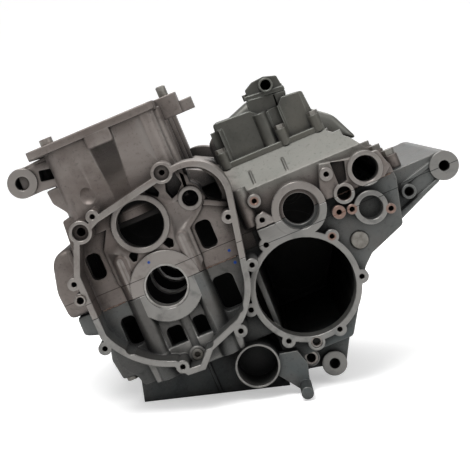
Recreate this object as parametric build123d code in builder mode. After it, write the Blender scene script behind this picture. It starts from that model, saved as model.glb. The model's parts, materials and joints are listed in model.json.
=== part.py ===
"""Crankcase of an inline four-cylinder engine: block, crank room and gearbox in two cast halves.

Millimetres. X runs to the rear, Y along the crankshaft away from the round cover flange, and Z up,
with the origin on the crank axis halfway along it. The sump face is level. The plane on which the
two halves part leans back by case_lean, so side profiles are drawn in case coordinates: u to the
rear along that plane, and w square to it, both measured from the crank axis.
"""
import os
from math import cos, radians, sin

from build123d import *

os.makedirs("parts", exist_ok=True)

# Attitude and main heights
case_lean = 16.0
sump_depth = 127.0
deck_height = 173.0
gearbox_step = 16.0
step_at = 98.0
machining_depth = 400.0

# Crank line
cylinder_pitch = 79.0
crank_bore_r = 20.5
shell_thickness = 2.0
shell_length = 14.0
shell_fit = 0.03
bulkhead = 14.0
crank_pad_r = 36.0

# Depths along the crank, near side negative
cover_face = 190.0
end_wall_face = 158.0
recess_pad = 8.0
end_wall = 7.0
room_face = 148.0
casting_wall = 7.0
gearbox_face = 160.0
gearbox_wall_face = 148.0
gearbox_far = 110.0
bulge_face = 132.0
sump_side = 120.0

# Cylinder block
cylinder_u = -6.0
bore_r = 34.0
liner_wall = 3.0
liner_fit = 0.03
liner_foot = 82.0
jacket_wall = 4.0
jacket_width = 6.0
jacket_depth = 62.0
block_near = 162.0
block_far = 190.0
block_front = 66.0
block_rear = 55.0
deck_front = 75.7
deck_rear = 58.0
deck_flange = 9.0
block_corner = 24.0
head_stud_u = 47.0
head_stud_r = 4.5
head_stud_depth = 40.0
tunnel_wall = 7.0
tunnel_length = 62.0

# Fasteners and dowels
main_bolt_u = 33.0
main_bolt_r = 4.5
main_bolt_head_r = 8.0
main_bolt_head = 8.0
main_bolt_reach = 46.0
column_r = 9.0
web_foot = 88.0
end_web_foot = 78.0
bay_roof = 74.0
bolt_clearance = 0.25
m6_bolt_r = 3.0
m6_head_r = 5.6
m6_head = 4.0
m6_grip = 10.0
case_bolt_r = 3.5
case_head_r = 6.5
case_head = 6.0
case_bolt_grip = 14.0
case_boss_r = 8.0
front_bolt_u = 75.0
front_bolt_y = [-124.0, -44.0, 44.0, 124.0]
front_bolt_seat = 76.0
rear_bolt_u = 256.5
rear_bolt_y = [-112.0, -10.0, 85.0]
rear_flange = 14.0
m6_boss_r = 6.5
m6_hole_r = 2.6
m6_depth = 16.0
cover_dowel_r = 5.0
clutch_dowel_r = 5.8
lug_bolt_r = 5.3
bush_spot = (103.5, -131.5)
bush_r = 6.8
bush_length = 16.0
gallery_plug_r = 5.5

# Round side cover flange, near side
cover_rim = 6.0
cover_bolts = [
    (-35.9, 92.5), (-78.5, 38.9), (-76.3, -30.4), (-13.6, -76.2),
    (52.2, -65.2), (87.1, -9.7), (83.9, 42.0),
]
cover_top_bolt = (41.6, 105.4)
cover_top_boss_r = 10.5
large_boss = (-52.7, 82.8)
large_boss_r = 11.4
large_boss_recess_r = 8.0
large_boss_hole_r = 4.2
cover_dowel = (-78.7, 22.5)
gallery_plug_spot = (1.7, -75.1)

# Balancer seat above the crank and the bearing boss beside it
balancer = (0.5, 66.7)
balancer_r = 23.4
balancer_ring = 5.6
idler = (55.7, 71.2)
idler_boss_r = 12.0
idler_seat_r = 8.0
idler_hole_r = 6.3

# Windows through the near end wall: middle, width and length along the cylinder axis
end_windows = [
    ((55.8, 31.6), 16.5, 29.0), ((-57.8, 43.9), 15.6, 27.0),
    ((-50.3, -30.2), 16.5, 32.0), ((-11.0, -54.4), 17.5, 27.0),
    ((15.9, -54.8), 15.6, 29.0), ((53.2, -30.1), 21.4, 37.0),
]
window_corner = 6.0

# Gearbox side
clutch_port = (126.6, -55.4)
clutch_port_r = 50.0
clutch_rim = 6.0
clutch_bolts = [
    (106.2, -1.1), (169.6, -18.2), (181.9, -66.8), (141.7, -107.9), (90.1, -99.4), (67.3, -55.6),
]
clutch_dowel = (115.5, -111.2)
clutch_dowel_boss_r = 8.5
output_shaft = (149.8, 19.2)
output_seat_r = 20.0
output_hole_r = 15.7
output_boss_r = 27.5
gearbox_bolts = [(112.1, 43.7), (112.1, 23.3), (187.3, 40.8), (185.0, 1.2)]
shift_bore = (224.7, 31.4)
shift_bore_r = 13.0
shift_boss_r = 17.5
shift_depth = 34.0
selector = (196.6, 16.6)
selector_r = 7.0
selector_boss_r = 10.5
blind_seat = (215.8, -6.5)
blind_seat_r = 12.0
blind_boss_r = 17.0
blind_depth = 12.0
blind_ears = [(197.9, -1.0), (233.6, -15.0)]
blind_ear_r = 5.2
core_plug_spot = (194.1, -33.9)
core_plug_r = 9.0
arm_boss = (259.0, -9.7)
arm_boss_r = 7.5
arm_hole_r = 4.5

# Stud and dowels of the deck
deck_stud = (68.0, -120.0)
deck_stud_r = 5.0
stud_depth = 18.0
stud_height = 11.0
ear_r = 12.0
ear_height = 22.0
deck_dowel_r = 6.5
dowel_depth = 8.0
dowel_height = 6.0
dowel_fit = 0.02

# Mounting lugs
front_lug = (-93.2, 147.6)
front_lug_r = 15.0
front_lug_hole_r = 7.0
front_lug_face = 150.0
front_lug_length = 34.0
rear_lug = (301.9, 0.1)
rear_lug_r = 15.0
rear_lug_face = 130.0
lower_lug = (123.7, -146.3)
lower_lug_r = 13.0
lower_lug_length = 42.0

# Water pipe socket and its arm
pipe_socket = (52.1, -109.8)
pipe_socket_r = 22.5
pipe_bore_r = 20.5
pipe_face = 165.0
pipe_end = 110.0
pipe_arm_boss = (88.4, -149.0)
pipe_arm = [(66, -127), (84, -152), (93, -150), (99, -128), (94, -112), (76, -108)]
pipe_arm_boss_r = 6.2

# Breather cover over the gearbox
cover_seat = 80.0
breather_near = 120.0
breather_far = 16.0
breather_wall = 3.5
breather_flange = [(93, 80), (93, 86), (206, 86), (206, 80)]
breather_box = [(98, 80), (102, 128), (142, 126), (150, 119), (170, 119), (177, 127), (199, 125), (203, 80)]
breather_hollow = [(104, 80), (106, 122), (140, 121), (148, 114), (172, 114), (179, 122), (195, 121), (198, 80)]
breather_tower = [(142, 110), (143, 137), (172, 133), (171, 110)]
breather_columns = [(150.0, -112.0), (166.0, -109.0), (103.0, -109.0)]
breather_column_r = 7.0
breather_column_top = 120.0
breather_bolt_spots = [(99.0, -116.0), (164.0, -116.0), (200.0, -116.0), (120.0, -24.0), (190.0, -24.0)]
breather_boss_r = 6.0
breather_boss_top = 98.0
outlet_foot = [(142, 137.1), (142, 141), (184, 137), (184, 132.1)]
outlet_dome = [(146, 139), (146, 147), (155, 152), (168, 153), (181, 149), (183, 136)]
outlet_nozzle = (166.9, 144.0)
outlet_nozzle_r = 7.2
outlet_bore_r = 5.4

lean = radians(case_lean)
rearward = Vector(cos(lean), 0, sin(lean))
upward = Vector(-sin(lean), 0, cos(lean))


def side(y):
    """Plane square to the crank at depth y, in case coordinates, looking from the near side."""
    return Plane(origin=(0, y, 0), x_dir=rearward, z_dir=(0, -1, 0))


def level(w):
    """Plane parallel to the parting plane at height w, with x to the rear and y along the crank."""
    return Plane(origin=upward * w, x_dir=rearward, z_dir=upward)


def side_prism(points, near, far, corner=0.0, inset=0.0, mode=Mode.ADD):
    """Body between two depths from a side outline, its corners rounded and its sides moved in."""
    with BuildSketch(side(far)) as profile:
        Polygon(*points, align=None)
        if inset:
            offset(amount=-inset, kind=Kind.INTERSECTION, mode=Mode.REPLACE)
        if corner:
            fillet(profile.vertices(), corner)
    extrude(profile.sketch, amount=far - near, mode=mode)


def rounds(groups, near, far, mode=Mode.ADD):
    """Round bosses or holes along the crank between two depths, from pairs of places and radius."""
    with BuildSketch(side(far)) as profile:
        for spots, radius in groups:
            with Locations(*spots):
                Circle(radius)
    extrude(profile.sketch, amount=far - near, mode=mode)


def posts(spots, radius, low, high, mode=Mode.ADD):
    """Round posts or holes along the cylinder axis between two heights."""
    with BuildSketch(level(low)) as profile:
        with Locations(*spots):
            Circle(radius)
    extrude(profile.sketch, amount=high - low, mode=mode)


def level_block(size_u, size_y, middle_u, middle_y, low, high, corner=0.0, mode=Mode.ADD):
    """Block with its sides along u and y between two heights."""
    with BuildSketch(level(low)) as profile:
        with Locations((middle_u, middle_y)):
            if corner:
                RectangleRounded(size_u, size_y, corner)
            else:
                Rectangle(size_u, size_y)
    extrude(profile.sketch, amount=high - low, mode=mode)


# Worked-out places
journals = [n * cylinder_pitch for n in (-2, -1, 0, 1, 2)]
cylinders = [(n + 0.5) * cylinder_pitch for n in (-2, -1, 0, 1)]
housing_r = crank_bore_r + shell_thickness + shell_fit
liner_r = bore_r + liner_wall
main_bolt_rows = [
    (end_web_foot, [(u, y) for y in (journals[0], journals[-1]) for u in (-main_bolt_u, main_bolt_u)]),
    (web_foot, [(u, y) for y in journals[1:-1] for u in (-main_bolt_u, main_bolt_u)]),
]
head_stud_spots = [(cylinder_u + u, y) for y in journals for u in (-head_stud_u, head_stud_u)]
floor_out = end_wall_face + recess_pad
front_bolts = [(-front_bolt_u, y) for y in front_bolt_y]
rear_bolts = [(rear_bolt_u, y) for y in rear_bolt_y]
case_bolt_rows = [
    (front_bolts, -front_bolt_seat, case_bolt_grip),
    (rear_bolts, gearbox_step + rear_flange, gearbox_step - case_bolt_grip),
]
deck_dowel_spots = [head_stud_spots[0], head_stud_spots[-2]]

# Outlines of the cast housing, in case coordinates
room_outline = [
    (-62, -88), (-66, -76), (-78, -60), (-78, -32), (-75, 66), (-72, 98), (60, 98), (90, 82), (90, -88),
]
sump_outline = [(-66, -76), (-76, -113), (-76, -175), (72, -175), (72, -130), (90, -108), (90, -76)]
bulge_outline = [(-80, -36), (-93, -27), (-104, -23), (-112, 4), (-111, 30), (-104, 62), (-80, 67)]
gearbox_outline = [
    (84, cover_seat), (204, cover_seat), (224, 64), (250, 26), (251, 10), (240, -36),
    (201, -51), (190, -61), (152, -122), (80, -122),
]
web_outline = [(236, 14.5), (301, 15), (301.9, 0.1), (292, -13), (236, -37.5)]
lower_web = [(140, -117), (150, -125), (136, -150), (112, -146), (98, -143), (70, -146), (70, -117)]
lug_arms = [(-98, 161), (-54, 164), (-54, 131), (-88, 134)]
lug_window = [(-76, 150), (-62, 150.5), (-62, 142), (-74, 141.5)]
sump_well = [(-57, -web_foot), (-69, -114), (-69, -200), (65, -200), (65, -web_foot)]
sump_mouth = [(-57, -60), (-57, -web_foot - 1), (65, -web_foot - 1), (65, -60)]
sump_passage = [(60, -112), (60, -96), (100, -96), (100, -112)]
parting_outline = [
    (-300, -400), (400, -400), (400, gearbox_step), (step_at, gearbox_step), (step_at, 0), (-300, 0),
]
cover_outline_left = [(57, -58), (20, -72), (6, -87), (-12, -86), (-21, -73)]
cover_outline_front = [(-76, -20), (-76, 45), (-62, 78), (-36, 91), (42, 106), (52, 107.5)]


def cover_flange_sketch(plane, inset=0.0):
    """Outline of the round side cover: a big arc behind, straight sides, and a dip for the gallery."""
    with BuildSketch(plane) as profile:
        with BuildLine():
            ThreePointArc((52, 107.5), (84, 98.5), (96.5, 62))
            Line((96.5, 62), (82, -12))
            ThreePointArc((82, -12), (74, -37), (57, -58))
            Polyline(*cover_outline_left)
            ThreePointArc((-21, -73), (-54, -53), (-76, -20))
            Polyline(*cover_outline_front)
        make_face()
        if inset:
            offset(amount=-inset, kind=Kind.ARC, mode=Mode.REPLACE)
    return profile.sketch


def cross(u):
    """Plane square to the parting plane's slope at u, with x along the crank and y along w."""
    return Plane(origin=rearward * u, x_dir=(0, 1, 0), z_dir=rearward)


# Whole housing, cast and bored as if in one, before it is divided along the parting face
with BuildPart() as housing:
    side_prism(room_outline, -room_face, room_face, corner=3)
    side_prism(bulge_outline, -bulge_face, bulge_face)
    side_prism(sump_outline, -sump_side, sump_side)
    side_prism(gearbox_outline, -gearbox_wall_face, gearbox_far, corner=6)

    # Near cover drum and its plain twin on the far side
    drum_depth = cover_face - end_wall_face + end_wall
    extrude(cover_flange_sketch(side(-end_wall_face + end_wall)), amount=drum_depth)
    extrude(cover_flange_sketch(side(cover_face)), amount=drum_depth)

    # Crank bays between the bearing walls, open to the sump below
    bay_edges = [-room_face + casting_wall] + journals[1:4] + [room_face - casting_wall]
    for n in range(4):
        near = bay_edges[n] + (bulkhead / 2 if n > 0 else 0)
        far = bay_edges[n + 1] - (bulkhead / 2 if n < 3 else 0)
        with BuildSketch(side(far)) as bay:
            Polygon(*room_outline, align=None)
            offset(amount=-casting_wall, kind=Kind.INTERSECTION, mode=Mode.REPLACE)
            with Locations((0, bay_roof - machining_depth / 2)):
                Rectangle(machining_depth, machining_depth, mode=Mode.INTERSECT)
        extrude(bay.sketch, amount=far - near, mode=Mode.SUBTRACT)
        mouth_near = max(near, -sump_side + casting_wall)
        mouth_far = min(far, sump_side - casting_wall)
        side_prism(sump_mouth, mouth_near, mouth_far, mode=Mode.SUBTRACT)
    side_prism(sump_well, -sump_side + casting_wall, sump_side - casting_wall, mode=Mode.SUBTRACT)

    # Gearbox room, open to the sump in front
    side_prism(
        gearbox_outline, -gearbox_wall_face + casting_wall, gearbox_far - casting_wall,
        corner=3, inset=casting_wall, mode=Mode.SUBTRACT,
    )
    side_prism(sump_passage, -110, 90, mode=Mode.SUBTRACT)

    # Recess behind the near cover, and behind the far one
    near_recess = cover_flange_sketch(side(-end_wall_face), inset=cover_rim)
    extrude(near_recess, amount=cover_face - end_wall_face, mode=Mode.SUBTRACT)
    far_recess = cover_flange_sketch(side(cover_face), inset=cover_rim)
    extrude(far_recess, amount=cover_face - end_wall_face, mode=Mode.SUBTRACT)

    # Bosses on the cover flanges and on the end walls inside the recesses
    flange_bosses = [
        (cover_bolts + [cover_dowel], m6_boss_r), ([cover_top_bolt], cover_top_boss_r),
        ([large_boss], large_boss_r),
    ]
    rounds(flange_bosses, -cover_face, -room_face)
    rounds([(cover_bolts, m6_boss_r)], room_face, cover_face)
    pads = [
        ([(0, 0)], crank_pad_r), ([balancer], balancer_r + balancer_ring), ([idler], idler_boss_r),
        ([gallery_plug_spot], m6_boss_r + 2),
    ]
    rounds(pads, -floor_out, -room_face)
    rounds([([(0, 0)], crank_pad_r)], room_face, floor_out)
    for foot, spots in main_bolt_rows[:1]:
        posts(spots, column_r, -foot, 0)
    with BuildSketch(side(-room_face + casting_wall)) as windows:
        for spot, width, length in end_windows:
            with Locations(spot):
                RectangleRounded(width, length, window_corner)
    extrude(windows.sketch, amount=floor_out, mode=Mode.SUBTRACT)

    # Near face of the gearbox: clutch port, shaft bosses and bolt bosses
    gearbox_bosses = [
        ([clutch_port], clutch_port_r + clutch_rim), (clutch_bolts, m6_boss_r + 0.5),
        ([clutch_dowel], clutch_dowel_boss_r), ([output_shaft], output_boss_r),
        (gearbox_bolts, m6_boss_r + 0.3), ([shift_bore], shift_boss_r), ([selector], selector_boss_r),
        ([blind_seat], blind_boss_r), (blind_ears, blind_ear_r),
    ]
    rounds(gearbox_bosses, -gearbox_face, -gearbox_wall_face)

    # Rear mounting bracket: a barrel carried by a top plate and three webs
    for near, far in ((-126, -119), (-14, -8), (99, 106)):
        side_prism(web_outline, near, far)
    side_prism([(236, 7.5), (236, 14.5), (301, 15), (301, 8)], -126, 106)
    rounds([([rear_lug], rear_lug_r)], -rear_lug_face, gearbox_far)
    rounds([([arm_boss], arm_boss_r)], -rear_lug_face - 6, -119)
    rounds([([lower_lug], lower_lug_r)], -rear_lug_face, -rear_lug_face + lower_lug_length)
    rounds([([lower_lug], lower_lug_r)], gearbox_far - lower_lug_length, gearbox_far)
    side_prism(lower_web, -rear_lug_face + 6, -rear_lug_face + lower_lug_length)
    side_prism(lower_web, gearbox_far - lower_lug_length, gearbox_far - 3)

    # Bosses of the flange bolts, and of the bush beside the lower lug
    for spots, seat, tip in case_bolt_rows:
        low, high = min(seat, tip - 4), max(seat, tip + 4)
        posts(spots, case_boss_r, low, high)
    rounds([([bush_spot], bush_r + 2.2)], -rear_lug_face, -rear_lug_face + lower_lug_length)

    # Pipe socket on the sump side, and the thin arm with its boss
    rounds([([pipe_socket], pipe_socket_r)], -pipe_face, -pipe_end)
    side_prism(pipe_arm, -room_face - 10, -room_face)
    rounds([([pipe_arm_boss], pipe_arm_boss_r)], -pipe_face - 20, -room_face)

    # Level sump face
    split(bisect_by=Plane.XY.offset(-sump_depth), keep=Keep.TOP)

    # Bores through the end walls and bearing walls
    rounds([([(0, 0)], housing_r)], -floor_out, floor_out, mode=Mode.SUBTRACT)
    wall_bores = [([balancer], balancer_r), ([idler], idler_hole_r)]
    rounds(wall_bores, -floor_out, -room_face + casting_wall, mode=Mode.SUBTRACT)
    rounds([([idler], idler_seat_r)], -floor_out, -end_wall_face + 2, mode=Mode.SUBTRACT)
    rounds([(cover_bolts, m6_hole_r)], -cover_face, -cover_face + m6_depth, mode=Mode.SUBTRACT)
    rounds([(cover_bolts, m6_hole_r)], cover_face - m6_depth, cover_face, mode=Mode.SUBTRACT)
    gearbox_bores = [([clutch_port], clutch_port_r), ([output_shaft], output_hole_r), ([selector], selector_r)]
    rounds(gearbox_bores, -gearbox_face, -gearbox_wall_face + casting_wall, mode=Mode.SUBTRACT)
    rounds([([output_shaft], output_seat_r)], -gearbox_face, -gearbox_wall_face - 3, mode=Mode.SUBTRACT)
    threads = [(clutch_bolts + gearbox_bolts, m6_hole_r)]
    rounds(threads, -gearbox_face, -gearbox_face + m6_depth, mode=Mode.SUBTRACT)
    rounds([([shift_bore], shift_bore_r)], -gearbox_face, -gearbox_face + shift_depth, mode=Mode.SUBTRACT)
    rounds([([blind_seat], blind_seat_r)], -gearbox_face, -gearbox_face + blind_depth, mode=Mode.SUBTRACT)
    rounds([([rear_lug, lower_lug], lug_bolt_r)], -rear_lug_face, gearbox_far, mode=Mode.SUBTRACT)
    rounds([([arm_boss], arm_hole_r)], -rear_lug_face - 6, -119, mode=Mode.SUBTRACT)
    rounds([([pipe_socket], pipe_bore_r)], -pipe_face, -pipe_end, mode=Mode.SUBTRACT)
    bolt_hole_r = main_bolt_r + bolt_clearance
    for foot, spots in main_bolt_rows:
        posts(spots, bolt_hole_r, -foot - 2, main_bolt_reach, mode=Mode.SUBTRACT)
    rounds([([cover_top_bolt], m6_hole_r)], -cover_face, -cover_face + 28, mode=Mode.SUBTRACT)
    rounds([([cover_top_bolt], 7.5)], -cover_face, -cover_face + 6, mode=Mode.SUBTRACT)
    rounds([([large_boss], large_boss_recess_r)], -cover_face, -cover_face + 7, mode=Mode.SUBTRACT)
    rounds([([large_boss], large_boss_hole_r)], -cover_face, -cover_face + 40, mode=Mode.SUBTRACT)
    rounds([([cover_dowel], cover_dowel_r + dowel_fit)], -cover_face, -cover_face + 12, mode=Mode.SUBTRACT)
    rounds([([clutch_dowel], clutch_dowel_r + dowel_fit)], -gearbox_face, -gearbox_face + 10, mode=Mode.SUBTRACT)
    rounds([([bush_spot], bush_r + dowel_fit)], -rear_lug_face, -rear_lug_face + bush_length, mode=Mode.SUBTRACT)
    plug_fit_r = core_plug_r + dowel_fit
    rounds([([core_plug_spot], plug_fit_r)], -gearbox_wall_face - 2, -gearbox_wall_face + 5, mode=Mode.SUBTRACT)
    rounds([([gallery_plug_spot], gallery_plug_r + dowel_fit)], -floor_out - 4, -floor_out + 12, mode=Mode.SUBTRACT)
    for spots, seat, tip in case_bolt_rows:
        low, high = min(seat, tip) - 1, max(seat, tip) + 1
        posts(spots, case_bolt_r + bolt_clearance, low, high, mode=Mode.SUBTRACT)


# Everything below the stepped parting face
with BuildPart() as below_parting:
    side_prism(parting_outline, -machining_depth, machining_depth)

with BuildPart() as lower_crankcase:
    add(housing.part)
    add(below_parting.part, mode=Mode.INTERSECT)

with BuildPart() as upper_crankcase:
    add(housing.part)
    add(below_parting.part, mode=Mode.SUBTRACT)

    # Cylinder block with its deck flange
    block_u = (block_rear - block_front) / 2
    block_y = (block_far - block_near) / 2
    with BuildSketch(level(bay_roof)) as block:
        with Locations((block_u, block_y)):
            Rectangle(block_front + block_rear, block_near + block_far)
        near_corners = block.vertices().group_by(Axis.Y)[0]
        chamfer(near_corners.sort_by(Axis.X)[0], block_corner)
    extrude(block.sketch, amount=deck_height - deck_flange - bay_roof)
    deck_u = (deck_rear - deck_front) / 2
    deck_size = deck_front + deck_rear
    block_length = block_near + block_far
    level_block(deck_size, block_length, deck_u, block_y, deck_height - deck_flange, deck_height)

    # Cylinder bores, water jacket and camshaft chain tunnel
    bores = [(cylinder_u, y) for y in cylinders]
    with BuildSketch(level(deck_height - jacket_depth)) as jacket:
        with Locations(*bores):
            Circle(liner_r + jacket_wall + jacket_width)
        with Locations(*bores):
            Circle(liner_r + jacket_wall, mode=Mode.SUBTRACT)
    extrude(jacket.sketch, amount=jacket_depth, mode=Mode.SUBTRACT)
    posts(bores, bore_r, 0, liner_foot, mode=Mode.SUBTRACT)
    posts(bores, liner_r + liner_fit, liner_foot, deck_height, mode=Mode.SUBTRACT)
    tunnel_near = cylinders[-1] + liner_r + jacket_wall + jacket_width + tunnel_wall
    tunnel_far = block_far - tunnel_wall
    tunnel_y = (tunnel_near + tunnel_far) / 2
    tunnel_width = tunnel_far - tunnel_near
    level_block(
        tunnel_length, tunnel_width, cylinder_u, tunnel_y, bay_roof - 20, deck_height, corner=4,
        mode=Mode.SUBTRACT,
    )
    posts(head_stud_spots, head_stud_r, deck_height - head_stud_depth, deck_height, mode=Mode.SUBTRACT)


    # Front mounting lugs, each held by two arms with a window between them
    for near in (-front_lug_face, front_lug_face - front_lug_length):
        rounds([([front_lug], front_lug_r)], near, near + front_lug_length)
        side_prism(lug_arms, near + 4, near + front_lug_length - 4)
        side_prism(lug_window, near, near + front_lug_length, mode=Mode.SUBTRACT)
        rounds([([front_lug], front_lug_hole_r)], near, near + front_lug_length, mode=Mode.SUBTRACT)

    # Threaded bosses under the breather cover
    posts(breather_bolt_spots, m6_boss_r + 2, cover_seat - casting_wall - 8, cover_seat)
    grip_foot = cover_seat - m6_grip - 1
    posts(breather_bolt_spots, m6_bolt_r + bolt_clearance, grip_foot, cover_seat, mode=Mode.SUBTRACT)

    # Ear behind the deck that carries the rear stud
    stud_u, stud_y = deck_stud
    ear_end = stud_u + ear_r
    level_block(ear_end - 50, 2 * ear_r, (ear_end + 50) / 2, stud_y, deck_height - ear_height, deck_height)
    level_block(14, 14, ear_end + 6, stud_y, deck_height - ear_height, deck_height - 10)
    stud_hole_r = deck_stud_r + dowel_fit
    posts([deck_stud], stud_hole_r, deck_height - stud_depth, deck_height, mode=Mode.SUBTRACT)
    dowel_hole_r = deck_dowel_r + dowel_fit
    posts(deck_dowel_spots, dowel_hole_r, deck_height - dowel_depth, deck_height, mode=Mode.SUBTRACT)


# Cast iron liners, slid into the block and flush with the deck
def ring(plane, outer, inner, length):
    """Plain ring standing on a plane."""
    with BuildSketch(plane) as face:
        Circle(outer)
        Circle(inner, mode=Mode.SUBTRACT)
    extrude(face.sketch, amount=length)


for number, y in enumerate(cylinders, start=1):
    with BuildPart() as liner:
        foot = Plane(origin=rearward * cylinder_u + upward * liner_foot + Vector(0, y, 0), z_dir=upward)
        ring(foot, liner_r, bore_r, deck_height - liner_foot)
    liner.part.label = f"cylinder_liner_{number}"
    export_step(liner.part, f"parts/cylinder_liner_{number}.step")

# Main bearing shells: a split pair in every bearing wall
for name, keep in (("upper", Keep.TOP), ("lower", Keep.BOTTOM)):
    with BuildPart() as shells:
        for y in journals:
            ring(side(y + shell_length / 2), crank_bore_r + shell_thickness, crank_bore_r, shell_length)
        split(bisect_by=level(0), keep=keep)
    shells.part.label = f"main_bearing_shells_{name}"
    export_step(shells.part, f"parts/main_bearing_shells_{name}.step")

# Bolts that clamp the bearing walls from below
def bolts(spots, radius, seat, tip, head_r, head_height):
    """Hexagon bolts along the cylinder axis; a tip below the seat means the head is on top."""
    posts(spots, radius, min(seat, tip), max(seat, tip))
    with BuildSketch(level(seat if tip < seat else seat - head_height)) as heads:
        with Locations(*spots):
            RegularPolygon(head_r, 6)
    extrude(heads.sketch, amount=head_height)


with BuildPart() as main_bearing_bolts:
    for foot, spots in main_bolt_rows:
        bolts(spots, main_bolt_r, -foot, main_bolt_reach - 3, main_bolt_head_r, main_bolt_head)
main_bearing_bolts.part.label = "main_bearing_bolts"
export_step(main_bearing_bolts.part, "parts/main_bearing_bolts.step")

# Flange bolts along the front and rear of the lower half
with BuildPart() as case_flange_bolts:
    for spots, seat, tip in case_bolt_rows:
        bolts(spots, case_bolt_r, seat, tip, case_head_r, case_head)
case_flange_bolts.part.label = "case_flange_bolts"
export_step(case_flange_bolts.part, "parts/case_flange_bolts.step")

# Hollow dowels and bushes of the side covers
with BuildPart() as side_cover_dowel:
    rounds([([cover_dowel], cover_dowel_r)], -cover_face - 3, -cover_face + 12)
    rounds([([cover_dowel], cover_dowel_r - 1.4)], -cover_face - 3, -cover_face + 12, mode=Mode.SUBTRACT)
side_cover_dowel.part.label = "side_cover_dowel"
export_step(side_cover_dowel.part, "parts/side_cover_dowel.step")

with BuildPart() as clutch_cover_dowel:
    rounds([([clutch_dowel], clutch_dowel_r)], -gearbox_face + 2, -gearbox_face + 10)
    rounds([([clutch_dowel], clutch_dowel_r - 1.6)], -gearbox_face + 2, -gearbox_face + 10, mode=Mode.SUBTRACT)
clutch_cover_dowel.part.label = "clutch_cover_dowel"
export_step(clutch_cover_dowel.part, "parts/clutch_cover_dowel.step")

with BuildPart() as lower_mount_bush:
    rounds([([bush_spot], bush_r)], -rear_lug_face, -rear_lug_face + bush_length)
    rounds([([bush_spot], bush_r - 2)], -rear_lug_face, -rear_lug_face + bush_length, mode=Mode.SUBTRACT)
lower_mount_bush.part.label = "lower_mount_bush"
export_step(lower_mount_bush.part, "parts/lower_mount_bush.step")

# Pressed-in core plug, and the socket plug of the oil gallery
with BuildPart() as core_plug:
    rounds([([core_plug_spot], core_plug_r)], -gearbox_wall_face - 3, -gearbox_wall_face + 5)
    fillet(core_plug.faces().sort_by(Axis.Y)[0].edges(), 1.5)
core_plug.part.label = "core_plug"
export_step(core_plug.part, "parts/core_plug.step")

with BuildPart() as gallery_plug:
    rounds([([gallery_plug_spot], gallery_plug_r)], -floor_out - 1.5, -floor_out + 12)
    with BuildSketch(side(-floor_out + 4)) as socket:
        with Locations(gallery_plug_spot):
            RegularPolygon(3.4, 6)
    extrude(socket.sketch, amount=6, mode=Mode.SUBTRACT)
gallery_plug.part.label = "gallery_plug"
export_step(gallery_plug.part, "parts/gallery_plug.step")

# Stud in the deck ear, and hollow dowels round two head stud holes
with BuildPart() as deck_rear_stud:
    posts([deck_stud], deck_stud_r, deck_height - stud_depth, deck_height + stud_height)
    chamfer(deck_rear_stud.faces().sort_by(Axis((0, 0, 0), upward))[-1].edges(), 1)
deck_rear_stud.part.label = "deck_rear_stud"
export_step(deck_rear_stud.part, "parts/deck_rear_stud.step")

with BuildPart() as deck_dowels:
    posts(deck_dowel_spots, deck_dowel_r, deck_height - dowel_depth, deck_height + dowel_height)
    posts(deck_dowel_spots, head_stud_r, deck_height - dowel_depth, deck_height + dowel_height,
          mode=Mode.SUBTRACT)
deck_dowels.part.label = "deck_dowels"
export_step(deck_dowels.part, "parts/deck_dowels.step")

# Breather cover: a flanged box with rounded columns, hollow underneath
with BuildPart() as breather_cover:
    side_prism(breather_flange, -breather_near, -breather_far, corner=1.5)
    side_prism(breather_box, -breather_near + 8, -breather_far - 18, corner=3)
    side_prism(breather_tower, -breather_near + 12, -breather_far - 20, corner=3)
    posts(breather_columns, breather_column_r, cover_seat, breather_column_top)
    posts(breather_bolt_spots, breather_boss_r, cover_seat, breather_boss_top)
    posts(breather_bolt_spots, breather_boss_r, breather_boss_top, breather_box[1][1], mode=Mode.SUBTRACT)
    side_prism(
        breather_hollow, -breather_near + 8 + breather_wall, -breather_far - 18 - breather_wall,
        mode=Mode.SUBTRACT,
    )
    posts(breather_bolt_spots, m6_bolt_r + bolt_clearance, cover_seat, breather_boss_top, mode=Mode.SUBTRACT)
breather_cover.part.label = "breather_cover"
export_step(breather_cover.part, "parts/breather_cover.step")

# Hose outlet on top of the breather tower, its nozzle turned to the near side
with BuildPart() as breather_outlet:
    side_prism(outlet_foot, -breather_near + 12, -breather_far - 44, corner=1)
    side_prism(outlet_dome, -breather_near + 14, -breather_far - 50, corner=2)
    rounds([([outlet_nozzle], outlet_nozzle_r)], -breather_near - 4, -breather_near + 20)
    rounds([([outlet_nozzle], outlet_bore_r)], -breather_near - 4, -breather_near + 34, mode=Mode.SUBTRACT)
breather_outlet.part.label = "breather_outlet"
export_step(breather_outlet.part, "parts/breather_outlet.step")

with BuildPart() as breather_cover_bolts:
    bolts(breather_bolt_spots, m6_bolt_r, breather_boss_top, cover_seat - m6_grip, m6_head_r, m6_head)
breather_cover_bolts.part.label = "breather_cover_bolts"
export_step(breather_cover_bolts.part, "parts/breather_cover_bolts.step")

for piece in (lower_crankcase, upper_crankcase):
    print(piece.part.volume, [round(s.volume) for s in piece.part.solids()])
lower_crankcase.part.label = "lower_crankcase"
export_step(lower_crankcase.part, "parts/lower_crankcase.step")
upper_crankcase.part.label = "upper_crankcase"
export_step(upper_crankcase.part, "parts/upper_crankcase.step")
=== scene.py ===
"""Looks of a used engine crankcase: its cast, machined and steel finishes, and the studio around it.

Metres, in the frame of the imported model: X to the rear, Y along the crank away from the near side,
Z up. Places on the case's sides are given as (u, w): u to the rear along the parting face, which
leans by CASE_LEAN, and w square to it, both from the crank axis.
"""

import json
import logging
import math
from dataclasses import dataclass, field
from enum import Enum
from typing import Any, Dict, List, Optional, Sequence, Tuple, Union

import bmesh
import bpy
from mathutils import Matrix, Vector

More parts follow.
